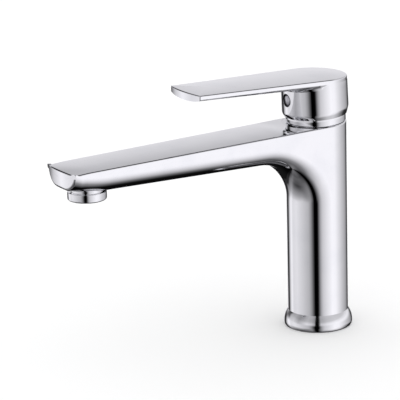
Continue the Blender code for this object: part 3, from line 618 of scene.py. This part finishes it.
def lever_depth(x, ahead):
    """Thickness of the blade: short sides and a belly that is deepest on the centre line."""
    across = min(1, abs(x) / lever_half_width(ahead))
    centre = lerp(LEVER_ROOT_DEPTH, LEVER_TIP_DEPTH, ahead / LEVER_LENGTH)
    return LEVER_EDGE + (centre - LEVER_EDGE) * math.sqrt(max(0, 1 - across**2))


def cap_radius(height):
    """Radius of the cap's slightly conical side at a height above the pivot."""
    low = CAP_LIP_HEIGHT + CAP_CHAMFER_FRONT - PIVOT_HEIGHT
    high = CAP_WALL_TOP - PIVOT_HEIGHT
    return lerp(CAP_R_LOW, CAP_R_TOP, (height - low) / (high - low))


def lever_outline():
    """Half plan of the top from the rear to the tip: (x, y, normal, angle on the cap, overhangs)."""
    points = []
    rear_steps = 40
    for i in range(rear_steps + 1):
        turn = lerp(math.pi / 2, -TANGENT, i / rear_steps)
        x = CAP_R_TOP * math.cos(turn) if i else 0.0
        points.append((x, CAP_R_TOP * math.sin(turn), (math.cos(turn), math.sin(turn)), turn, False))
    front = []
    start, corner = CAP_R_TOP * math.sin(TANGENT), LEVER_TIP_CORNER_R
    side_steps, corner_steps, end_steps = 44, 8, 20
    normal = (math.cos(TANGENT), -math.sin(TANGENT))
    for i in range(1, side_steps + 1):
        ahead = lerp(start, LEVER_LENGTH - corner, (i / side_steps) ** 1.7)
        front.append((lever_half_width(ahead), -ahead, normal))
    centre_x = lever_half_width(LEVER_LENGTH) - corner
    bow_turn = math.atan(2 * LEVER_TIP_BOW * centre_x / LEVER_TIP_HALF**2)
    corner_y = -LEVER_LENGTH + LEVER_TIP_BOW / 2 + corner
    for i in range(1, corner_steps + 1):
        turn = lerp(TANGENT, math.pi / 2 - bow_turn, i / corner_steps)
        x, y = centre_x + corner * math.cos(turn), corner_y - corner * math.sin(turn)
        front.append((x, y, (math.cos(turn), -math.sin(turn))))
    last_x, last_y, _ = front[-1]
    for i in range(1, end_steps + 1):
        x = last_x * (1 - i / end_steps)
        slope = 2 * LEVER_TIP_BOW * x / LEVER_TIP_HALF**2
        y = last_y - LEVER_TIP_BOW * (last_x**2 - x**2) / LEVER_TIP_HALF**2
        length = math.hypot(1, slope)
        front.append((x, y, (slope / length, -1 / length)))
    for i, (x, y, normal) in enumerate(front):
        share = (i + 1) / len(front)
        turn = lerp(-TANGENT, -math.pi / 2, share**0.85)
        points.append((x, y, normal, turn, True))
    return points


def cap_point(turn, height, radius=None):
    """World point on the cap's side, or at a radius about the pivot's axis."""
    radius = cap_radius(height) if radius is None else radius
    return PIVOT @ Vector((radius * math.cos(turn), radius * math.sin(turn), height))


def handle_column(x, y, normal, turn, overhangs):
    """One column of the handle's skin: from the top's centre line out, down, and up again inside."""
    rows = []
    crown_x = max(0.0, x - normal[0] * LEVER_EDGE_R)
    edge = Vector((crown_x, y - normal[1] * LEVER_EDGE_R, 0))
    anchor = Vector((0, max(-LEVER_LENGTH + 20 * MM, min(0.0, y)), 0))
    drop = math.tan(CROWN) * LEVER_TIP_HALF / 2
    for share in reversed(TOP_SHARES):
        point = edge.lerp(anchor, share)
        point.z = drop * (CROWN_LIFT - (1 - share) ** 2)
        rows.append(point)
    tilt = math.pi / 2 - CROWN
    lift = -(1 - CROWN_LIFT) * drop - LEVER_EDGE_R * math.sin(tilt)
    for i in range(FILLET_STEPS + 1):
        angle = tilt * (1 - i / FILLET_STEPS)
        outward = LEVER_EDGE_R * math.cos(angle)
        height = lift + LEVER_EDGE_R * math.sin(angle)
        rows.append(Vector((crown_x + normal[0] * outward, edge.y + normal[1] * outward, height)))
    depth = lever_depth(x, max(0, -y)) if overhangs else LEVER_EDGE
    rows.append(Vector((x, y, lift - HOLD)))
    rows.append(Vector((x, y, -depth + HOLD)))
    rows.append(Vector((x, y, -depth)))
    points = [LEVER_PLANE @ row for row in rows]
    to_plane = LEVER_PLANE.inverted()
    wall_top = (PIVOT.inverted() @ points[-1]).z
    if overhangs:
        inner = to_plane @ cap_point(turn, wall_top)
        overhang = math.dist((x, y), (inner.x, inner.y))
        fillet = min(LEVER_FILLET_R, overhang)
        distances = [lerp(overhang, fillet, i / BELLY_STEPS) for i in range(1, BELLY_STEPS + 1)]
        turns = [math.pi / 2 * i / CORNER_STEPS for i in range(1, CORNER_STEPS + 1)]
        distances += [fillet * (1 - math.sin(a)) for a in turns]
        for distance in distances:
            share = 1 - distance / overhang
            plan_x, plan_y = lerp(x, inner.x, share), lerp(y, inner.y, share)
            into_corner = 1 - min(1, distance / fillet)
            depth_here = lever_depth(plan_x, max(0, -plan_y)) + fillet * (1 - math.sqrt(1 - into_corner**2))
            points.append(LEVER_PLANE @ Vector((plan_x, plan_y, -depth_here)))
        wall_top = (PIVOT.inverted() @ points[-1]).z
        points[-1] = cap_point(turn, wall_top)
    else:
        points += [points[-1]] * (BELLY_STEPS + CORNER_STEPS)
    rear_share = (math.sin(turn) + 1) / 2
    lip = CAP_LIP_HEIGHT - PIVOT_HEIGHT
    lip_height = lip + CAP_LIP_RISE * rear_share
    chamfer_top = lip + lerp(CAP_CHAMFER_FRONT, CAP_CHAMFER_REAR, rear_share)
    points.append(cap_point(turn, wall_top - HOLD))
    points.append(cap_point(turn, lerp(wall_top, chamfer_top, 0.5)))
    lip_r = CAP_LIP_R + CAP_LIP_LAND
    soft = 0.35
    upper = Vector((cap_radius(chamfer_top + 1.4 * MM), chamfer_top + 1.4 * MM))
    bend = Vector((CAP_R_LOW, chamfer_top))
    lower = bend.lerp(Vector((lip_r, lip_height)), soft)
    for i in range(9):
        t = i / 8
        spot = upper * (1 - t) ** 2 + bend * 2 * t * (1 - t) + lower * t * t
        points.append(cap_point(turn, spot.y, spot.x))
    points.append(cap_point(turn, lerp(lower.y, lip_height, 0.8), lerp(lower.x, lip_r, 0.8)))
    points.append(cap_point(turn, lip_height, lip_r))
    mouth = math.asin(lip_height / CAP_CAVITY_R)
    steps = 12
    for i in range(steps + 1):
        rise = lerp(mouth, math.pi / 2, i / steps)
        radius = CAP_CAVITY_R * math.cos(rise) if i < steps else 0.0
        points.append(cap_point(turn, CAP_CAVITY_R * math.sin(rise), radius))
    return points


def handle():
    bm = bmesh.new()
    skin(bm, [handle_column(*place) for place in lever_outline()])
    cap = new_solid("lever_handle", bm, mirrored=True)
    boss = pin("socket_boss", BOSS_R, BOSS_LOW, BOSS_HIGH, PIVOT)
    combine(cap, [boss], "UNION")
    half, low, high = STEM_SIDE / 2 + GAP, SOCKET_LOW, STEM_TOP + 0.5 * MM - PIVOT_HEIGHT
    socket = block("socket_cutter", (-half, -half, low), (half, half, high), PIVOT)
    forward = PIVOT @ Matrix.Translation((0, 0, PLUG_HEIGHT - PIVOT_HEIGHT)) @ FORWARD
    plug_way = pin("plug_cutter", PLUG_HOLE_R, 12 * MM, 30 * MM, forward, 64)
    screw_way = pin("screw_cutter", SCREW_HOLE_R, 2 * MM, 14 * MM, forward, 32)
    return combine(cap, [socket, plug_way, screw_way], "DIFFERENCE")


# Materials --------------------------------------------------------------------------------------------
class Tree:
    """A node tree with short ways to add nodes and links."""

    def __init__(self, node_tree):
        self.tree = node_tree

    def add(self, kind, inputs=None, **settings):
        node = self.tree.nodes.new(kind)
        for name, value in settings.items():
            setattr(node, name, value)
        for name, value in (inputs or {}).items():
            if isinstance(value, bpy.types.NodeSocket):
                self.tree.links.new(value, node.inputs[name])
            else:
                node.inputs[name].default_value = value
        return node

    def math(self, operation, first, second=0.0, third=0.0):
        inputs = {0: first, 1: second, 2: third}
        return self.add("ShaderNodeMath", inputs, operation=operation).outputs[0]

    def span(self, value, low, high, out_low=0.0, out_high=1.0):
        """Maps low..high smoothly to out_low..out_high."""
        inputs = {"Value": value, "From Min": low, "From Max": high, "To Min": out_low, "To Max": out_high}
        return self.add("ShaderNodeMapRange", inputs, interpolation_type="SMOOTHSTEP").outputs["Result"]

    def ramp(self, factor, stops):
        """A colour ramp from (place, colour) pairs."""
        node = self.add("ShaderNodeValToRGB", {"Fac": factor})
        elements = node.color_ramp.elements
        elements[0].position, elements[0].color = stops[0]
        elements[-1].position, elements[-1].color = stops[-1]
        for place, colour in stops[1:-1]:
            elements.new(place).color = colour
        return node.outputs["Color"]

    def mix(self, factor, first, second, blend="MIX"):
        inputs = {"Factor": factor, 6: first, 7: second}
        return self.add("ShaderNodeMix", inputs, data_type="RGBA", blend_type=blend).outputs[2]


def grey(level, cool=0.0):
    """Linear colour of a screen grey from 0 to 255, a little bluer by cool."""
    value = (level / 255) ** 2.2
    return (value * (1 - cool * 0.6), value * (1 - cool), value * (1 + cool), 1.0)


def new_material(name, base, metallic, roughness):
    material = bpy.data.materials.new(name)
    material.use_nodes = True
    shader = material.node_tree.nodes["Principled BSDF"]
    shader.inputs["Base Color"].default_value = (*base, 1.0)
    shader.inputs["Metallic"].default_value = metallic
    shader.inputs["Roughness"].default_value = roughness
    material.diffuse_color = (*base, 1.0)
    return material, Tree(material.node_tree), shader


def noise(tree, scale, detail=3.0, vector=None):
    place = vector or tree.add("ShaderNodeTexCoord").outputs["Object"]
    return tree.add("ShaderNodeTexNoise", {"Vector": place, "Scale": scale, "Detail": detail}).outputs["Fac"]


def bump(tree, shader, height, strength, distance):
    inputs = {"Height": height, "Strength": strength, "Distance": distance}
    tree.tree.links.new(tree.add("ShaderNodeBump", inputs).outputs["Normal"], shader.inputs["Normal"])


def chrome(name, base, tarnish, roughness):
    """Mirror-polished plate: faint waviness from polishing, hair-fine scratches, a trace of dried water."""
    material, tree, shader = new_material(name, base, 1.0, roughness)
    links = tree.tree.links
    film = tree.span(noise(tree, 45.0, 4.0), 0.42, 0.72)
    links.new(tree.mix(film, (*base, 1.0), (*tarnish, 1.0)), shader.inputs["Base Color"])
    place = tree.add("ShaderNodeTexCoord").outputs["Object"]
    fine_lines = {"Vector": place, "Scale": (900.0, 60.0, 900.0)}
    stretch = tree.add("ShaderNodeMapping", fine_lines).outputs["Vector"]
    hair = tree.span(noise(tree, 1.0, 2.0, stretch), 0.62, 0.70)
    rough = tree.math("MULTIPLY_ADD", hair, 0.03, roughness)
    rough = tree.math("MULTIPLY_ADD", film, 0.025, rough)
    links.new(rough, shader.inputs["Roughness"])
    bump(tree, shader, noise(tree, 55.0, 1.0), 0.05, 0.02 * MM)
    return material


def turned_metal(name, base, dark, roughness, lines):
    """Machined metal with fine tool marks round Z and a little tarnish."""
    material, tree, shader = new_material(name, base, 1.0, roughness)
    links = tree.tree.links
    place = tree.add("ShaderNodeTexCoord").outputs["Object"]
    marks = tree.add(
        "ShaderNodeTexWave", {"Vector": place, "Scale": lines, "Distortion": 0.6, "Detail": 2.0},
        wave_type="BANDS", bands_direction="Z",
    ).outputs["Fac"]
    tarnish = tree.span(noise(tree, 160.0, 5.0), 0.40, 0.75)
    links.new(tree.mix(tarnish, (*base, 1.0), (*dark, 1.0)), shader.inputs["Base Color"])
    links.new(tree.math("MULTIPLY_ADD", marks, 0.12, roughness), shader.inputs["Roughness"])
    bump(tree, shader, marks, 0.25, 0.02 * MM)
    return material


def moulded(name, base, shade, roughness, grain, strength, specular=0.5):
    """Moulded plastic or rubber with a fine grain and slightly uneven colour."""
    material, tree, shader = new_material(name, base, 0.0, roughness)
    shader.inputs["Specular IOR Level"].default_value = specular
    links = tree.tree.links
    cloud = tree.span(noise(tree, grain / 12, 3.0), 0.35, 0.70)
    links.new(tree.mix(cloud, (*base, 1.0), (*shade, 1.0)), shader.inputs["Base Color"])
    fine = noise(tree, grain, 4.0)
    links.new(tree.span(fine, 0.3, 0.7, roughness - 0.06, roughness + 0.08), shader.inputs["Roughness"])
    bump(tree, shader, fine, strength, 0.05 * MM)
    return material


def ceramic(name):
    """Lapped alumina: off-white, dense, faintly speckled, with a soft gloss."""
    material, tree, shader = new_material(name, (0.86, 0.84, 0.78), 0.0, 0.18)
    links = tree.tree.links
    speck = tree.span(noise(tree, 2600.0, 2.0), 0.60, 0.68)
    links.new(tree.mix(speck, (0.86, 0.84, 0.78, 1), (0.70, 0.66, 0.58, 1)), shader.inputs["Base Color"])
    links.new(tree.span(noise(tree, 700.0), 0.3, 0.7, 0.13, 0.26), shader.inputs["Roughness"])
    bump(tree, shader, noise(tree, 3200.0, 2.0), 0.15, 0.02 * MM)
    return material


CHROME = (0.90, 0.90, 0.915)
CHROME_FILM = (0.865, 0.868, 0.888)
MATERIALS = {
    "body_chrome": lambda name: chrome(name, CHROME, CHROME_FILM, 0.035),
    "handle_chrome": lambda name: chrome(name, CHROME, CHROME_FILM, 0.03),
    "collar_chrome": lambda name: chrome(name, CHROME, CHROME_FILM, 0.04),
    "aerator_chrome": lambda name: chrome(name, CHROME, CHROME_FILM, 0.045),
    "plug_chrome": lambda name: chrome(name, (0.50, 0.50, 0.53), (0.42, 0.42, 0.45), 0.10),
    "nut_brass": lambda name: turned_metal(name, (0.80, 0.62, 0.30), (0.60, 0.42, 0.18), 0.24, 900.0),
    "stem_brass": lambda name: turned_metal(name, (0.80, 0.62, 0.30), (0.62, 0.45, 0.20), 0.28, 500.0),
    "stainless_steel": lambda name: turned_metal(name, (0.62, 0.61, 0.60), (0.50, 0.49, 0.48), 0.26, 1200.0),
    "black_rubber": lambda name: moulded(
        name, (0.028, 0.028, 0.030), (0.045, 0.044, 0.044), 0.66, 2400.0, 0.35, 0.3
    ),
    "red_seal": lambda name: moulded(name, (0.50, 0.07, 0.045), (0.40, 0.05, 0.035), 0.52, 2200.0, 0.25, 0.4),
    "red_plastic": lambda name: moulded(name, (0.55, 0.06, 0.04), (0.46, 0.05, 0.035), 0.42, 2600.0, 0.15),
    "housing_plastic": lambda name: moulded(name, (0.80, 0.80, 0.77), (0.74, 0.74, 0.71), 0.42, 2600.0, 0.15),
    "carrier_plastic": lambda name: moulded(name, (0.09, 0.20, 0.50), (0.07, 0.16, 0.42), 0.40, 2600.0, 0.15),
    "insert_plastic": lambda name: moulded(name, (0.53, 0.55, 0.58), (0.47, 0.49, 0.52), 0.45, 2600.0, 0.20),
    "alumina_ceramic": ceramic,
}


def dress(obj, material):
    """Gives an object its one material, smooth on its round faces."""
    obj.data.materials.clear()
    obj.data.materials.append(material)
    obj.data.shade_smooth()
    obj.data.set_sharp_from_angle(angle=SHARP)


# Object -----------------------------------------------------------------------------------------------
materials = {slot: make(slot + "_look") for slot, make in MATERIALS.items()}
node_slots = {part["node"]: part["material_slot"] for part in frame["record"]["subparts"]}
node_bodies = {node: body for body, nodes in frame["record"]["behaviour"]["bodies"].items() for node in nodes}
FINE_PIECES = (
    ("body_casting", body_casting),
    ("collar_ring", collar_ring),
    ("aerator_housing", aerator_housing),
    ("index_plug", index_plug),
    ("handle", handle),
)
for node, make in FINE_PIECES:
    piece = make()
    dress(piece, materials[node_slots[node]])
    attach(piece, node_bodies[node])
    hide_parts(node)
replaced = {node for node, _ in FINE_PIECES}
for node, obj in frame["nodes"].items():
    if node not in replaced:
        for slot in obj.material_slots:
            slot.material = materials[node_slots[node]]


# Studio -----------------------------------------------------------------------------------------------
def band_ramp(tree, azimuth, levels):
    """Brightness all round the object, from (degrees, level) pairs; level 255 is white."""
    return tree.ramp(azimuth, [((place + 180) / 360, grey(level, 0.02)) for place, level in levels])


def height_ramp(tree, elevation, levels):
    share = tree.math("MULTIPLY_ADD", elevation, 1 / 180, 0.5)
    return tree.ramp(share, [((place + 90) / 180, grey(level)) for place, level in levels])


def flag_mask(tree, direction, azimuth, elevation, radius, softness):
    """1 inside a round flag in the studio's sky; all in degrees."""
    turn, rise = math.radians(azimuth), math.radians(elevation)
    axis = (math.cos(turn) * math.cos(rise), math.sin(turn) * math.cos(rise), math.sin(rise))
    product = tree.add("ShaderNodeVectorMath", {0: direction, 1: axis}, operation="DOT_PRODUCT")
    outer, inner = math.cos(math.radians(radius + softness)), math.cos(math.radians(radius))
    return tree.span(product.outputs["Value"], outer, inner)


def build_world():
    """What the mirrors see: panels with a slit and dark gaps, four flags, a dark table edge.

    low_wall's levels, and those that below_wall shares, follow brightness read across the column in the
    photograph, and were then adjusted against it.
    """
    world = bpy.data.worlds.new("studio")
    bpy.context.scene.world = world
    world.use_nodes = True
    tree = Tree(world.node_tree)
    world.node_tree.nodes.clear()
    direction = tree.add("ShaderNodeTexCoord").outputs["Generated"]
    axes = tree.add("ShaderNodeSeparateXYZ", {"Vector": direction}).outputs
    azimuth = tree.math("MULTIPLY_ADD", tree.math("ARCTAN2", axes["Y"], axes["X"]), 1 / math.tau, 0.5)
    elevation = tree.math("MULTIPLY", tree.math("ARCSINE", axes["Z"]), 180 / math.pi)
    below_wall = (
        (-180, 50), (-170, 60), (-163, 170), (-150, 240), (-137, 214), (-91, 206), (-57, 150), (-44, 6),
        (-33, 6), (-26, 110), (-12, 201), (4, 226), (25, 250), (50, 232), (75, 150), (95, 60), (115, 24),
        (180, 30),
    )
    low_wall = (
        (-180, 46), (-173, 60), (-168, 130), (-162, 200), (-150, 246), (-137, 222), (-118, 228), (-91, 206),
        (-66, 181), (-57, 145), (-50, 90), (-44, 4), (-34, 3), (-30, 30), (-26, 110), (-19, 171), (-12, 201),
        (4, 226), (25, 250), (40, 246), (57, 222), (75, 196), (96, 168), (107, 140), (118, 60), (130, 60),
        (140, 225), (162, 225), (171, 70), (180, 46),
    )
    high_wall = (
        (-180, 208), (-174, 150), (-166, 90), (-154, 90), (-144, 190), (-125, 205), (-104, 176), (-88, 200),
        (-72, 222), (-56, 205), (-46, 170), (-42, 8), (-34, 6), (-31, 50), (-24, 200), (0, 236), (30, 250),
        (80, 236), (120, 218), (150, 222), (180, 208),
    )
    low = band_ramp(tree, azimuth, low_wall)
    below = band_ramp(tree, azimuth, below_wall)
    wall = tree.mix(tree.span(elevation, -23.0, -17.0), below, low)
    wall = tree.mix(tree.span(elevation, -6.0, 8.0), wall, band_ramp(tree, azimuth, high_wall))
    sky_fall = ((-90, 255), (8, 250), (16, 232), (22, 208), (35, 200), (90, 220))
    wall = tree.mix(1.0, wall, height_ramp(tree, elevation, sky_fall), "MULTIPLY")
    to_front = math.radians(-115)
    along_y = tree.math("MULTIPLY", axes["Y"], math.sin(to_front))
    in_front = tree.math("MULTIPLY_ADD", axes["X"], math.cos(to_front), along_y)
    rear_ground = ((-90, 130), (-72, 100), (-60, 140), (-48, 205), (-36, 240), (-26, 255), (90, 255))
    front_ground = (
        (-90, 150), (-74, 130), (-64, 40), (-52, 50), (-42, 135), (-30, 190), (-20, 248), (-14, 255), (90, 255),
    )
    ground = tree.mix(
        tree.span(in_front, 0.25, 0.7), height_ramp(tree, elevation, rear_ground),
        height_ramp(tree, elevation, front_ground),
    )
    mirrored = tree.mix(1.0, wall, ground, "MULTIPLY")
    for flag_azimuth, flag_elevation, radius in FLAGS:
        mask = flag_mask(tree, direction, flag_azimuth, flag_elevation, radius, FLAG_SOFTNESS)
        mirrored = tree.mix(mask, mirrored, grey(FLAG_LEVEL, 0.03))
    path = tree.add("ShaderNodeLightPath").outputs
    white = {"Color": (1, 1, 1, 1), "Strength": LIGHT_STRENGTH}
    seen = tree.add("ShaderNodeBackground", white).outputs[0]
    panels = {"Color": mirrored, "Strength": LIGHT_STRENGTH}
    reflected = tree.add("ShaderNodeBackground", panels).outputs[0]
    shader = tree.add("ShaderNodeMixShader", {0: path["Is Glossy Ray"], 1: seen, 2: reflected}).outputs[0]
    tree.add("ShaderNodeOutputWorld", {"Surface": shader})


def build_floor():
    """A pale, plain floor that mirrors don't show."""
    bm = bmesh.new()
    bmesh.ops.create_grid(bm, x_segments=FLOOR_STEPS, y_segments=FLOOR_STEPS, size=FLOOR_SIZE / 2)
    floor = new_solid("studio_floor", bm)
    material, tree, shader = new_material("floor_look", (0.94, 0.94, 0.94), 0.0, 0.9)
    cloud = tree.span(noise(tree, 3.0), 0.3, 0.7)
    colour = tree.mix(cloud, (0.935, 0.935, 0.937, 1), (0.945, 0.945, 0.945, 1))
    tree.tree.links.new(colour, shader.inputs["Base Color"])
    floor.data.materials.append(material)
    floor.visible_glossy = False


def build_camera():
    """The photograph's view: from the spout's left, slightly above, through a long lens."""
    azimuth, elevation, roll = CAMERA_AZIMUTH, CAMERA_ELEVATION, CAMERA_ROLL
    level = math.cos(elevation)
    back = Vector((math.sin(azimuth) * level, -math.cos(azimuth) * level, math.sin(elevation)))
    right = Vector((math.cos(azimuth), math.sin(azimuth), 0))
    up = back.cross(right)
    rolled_right = right * math.cos(roll) + up * math.sin(roll)
    rolled_up = up * math.cos(roll) - right * math.sin(roll)
    data = bpy.data.cameras.new("camera")
    data.lens, data.sensor_width = CAMERA_LENS, 36.0
    data.clip_end = 50.0
    camera = bpy.data.objects.new("camera", data)
    turn = Matrix((rolled_right, rolled_up, back)).transposed().to_4x4()
    camera.matrix_world = Matrix.Translation(Vector(CAMERA_TARGET) + back * CAMERA_DISTANCE) @ turn
    bpy.context.scene.collection.objects.link(camera)
    bpy.context.scene.camera = camera


build_world()
build_floor()
build_camera()
bpy.context.scene.view_settings.view_transform = "Standard"
